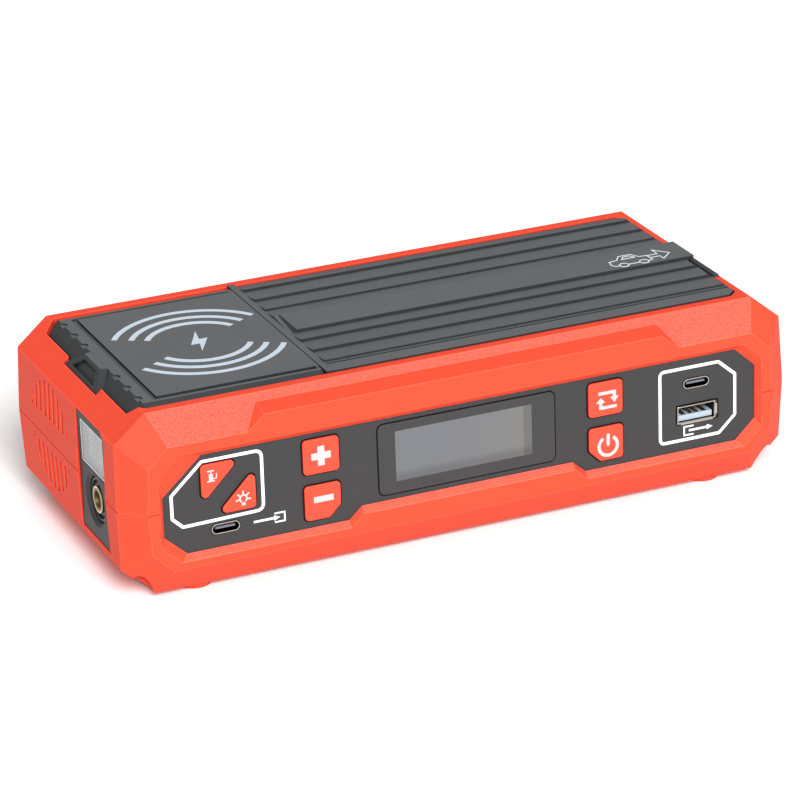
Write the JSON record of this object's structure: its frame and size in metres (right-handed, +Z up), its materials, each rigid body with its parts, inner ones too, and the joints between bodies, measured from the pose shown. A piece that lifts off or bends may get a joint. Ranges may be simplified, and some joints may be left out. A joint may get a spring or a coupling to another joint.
{
  "type": "jump starter pack",
  "caption": "Portable jump starter with tyre pump, charging pad lid, display, keys, ports, lamp and hidden power socket.",
  "frame": {"origin": "centre of the outline at the level that the feet stand on", "axes": "+X along the length to the power socket end, -Y out of the control panel, +Z up"},
  "size_m": [0.2192, 0.1044, 0.0608],
  "materials": {
    "shell_red": "fine moulded grain",
    "cover_grey": "fine moulded grain",
    "panel_grey": "smooth satin",
    "button_red": "smooth satin",
    "inner_plastic": "plain moulded",
    "lens_smoke": "smooth with a clear window",
    "display_glass": "grey liquid crystal",
    "foot_rubber": "matt",
    "flap_rubber": "matt",
    "hose_rubber": "matt",
    "collar_black": "satin",
    "screw_steel": "zinc plated",
    "port_steel": "bright stamped sheet",
    "motor_steel": "drawn can",
    "pump_aluminium": "die cast",
    "cell_foil": "foil pouch",
    "port_white": "moulded",
    "lamp_white": "white board",
    "lamp_clear": "clear moulded lens",
    "led_yellow": "phosphor face",
    "outlet_brass": "turned",
    "pin_brass": "plated pins",
    "coil_copper": "wound copper wire",
    "board_green": "solder mask",
    "socket_blue": "moulded"
  },
  "bodies": {
    "base": {"upper_shell": "shell_red", "lower_shell": "shell_red", "rubber_feet": "foot_rubber", "housing_screws": "screw_steel", "top_cover": "cover_grey", "storage_tray": "inner_plastic", "front_panel": "panel_grey", "display_lens": "lens_smoke", "display_module": "display_glass", "button_board": "board_green", "button_switches": "inner_plastic", "usb_c_input": "port_steel", "usb_c_output": "port_steel", "usb_a_output": "port_steel", "usb_a_tongue": "port_white", "end_plate": "panel_grey", "lamp_lens": "lamp_clear", "lamp_board": "lamp_white", "lamp_leds": "led_yellow", "outlet_collar": "collar_black", "outlet_fitting": "outlet_brass", "air_hose": "hose_rubber", "pump_motor": "motor_steel", "pump_crankcase": "pump_aluminium", "pump_cylinder": "pump_aluminium", "pump_head": "pump_aluminium", "battery_frame": "inner_plastic", "battery_cells": "cell_foil", "main_board": "board_green", "power_relay": "inner_plastic", "socket_housing": "socket_blue", "socket_pins": "pin_brass", "flap_anchor": "flap_rubber"},
    "lid": {"pad_lid": "cover_grey", "charging_coil": "coil_copper", "coil_plate": "inner_plastic"},
    "flap": {"socket_flap": "flap_rubber"},
    "key_pump": {"button_pump": "button_red"},
    "key_light": {"button_light": "button_red"},
    "key_plus": {"button_plus": "button_red"},
    "key_minus": {"button_minus": "button_red"},
    "key_mode": {"button_mode": "button_red"},
    "key_power": {"button_power": "button_red"}
  },
  "joints": [
    {"name": "lid_hinge", "type": "hinge", "parent": "base", "child": "lid", "pos_m": [-0.0406, 0, 0.05975], "axis": [0, 1, 0], "range_deg": [0, 100]},
    {"name": "flap_hinge", "type": "hinge", "parent": "base", "child": "flap", "pos_m": [0.0989, -0.0084, 0.0592], "axis": [0, -1, 0], "range_deg": [0, 95]},
    {"name": "pump_press", "type": "slide", "parent": "base", "child": "key_pump", "axis": [0, 1, 0], "range_m": [0, 0.0008], "stiffness_N_per_m": 1500},
    {"name": "light_press", "type": "slide", "parent": "base", "child": "key_light", "axis": [0, 1, 0], "range_m": [0, 0.0008], "stiffness_N_per_m": 1500},
    {"name": "plus_press", "type": "slide", "parent": "base", "child": "key_plus", "axis": [0, 1, 0], "range_m": [0, 0.0008], "stiffness_N_per_m": 1500},
    {"name": "minus_press", "type": "slide", "parent": "base", "child": "key_minus", "axis": [0, 1, 0], "range_m": [0, 0.0008], "stiffness_N_per_m": 1500},
    {"name": "mode_press", "type": "slide", "parent": "base", "child": "key_mode", "axis": [0, 1, 0], "range_m": [0, 0.0008], "stiffness_N_per_m": 1500},
    {"name": "power_press", "type": "slide", "parent": "base", "child": "key_power", "axis": [0, 1, 0], "range_m": [0, 0.0008], "stiffness_N_per_m": 1500}
  ]
}
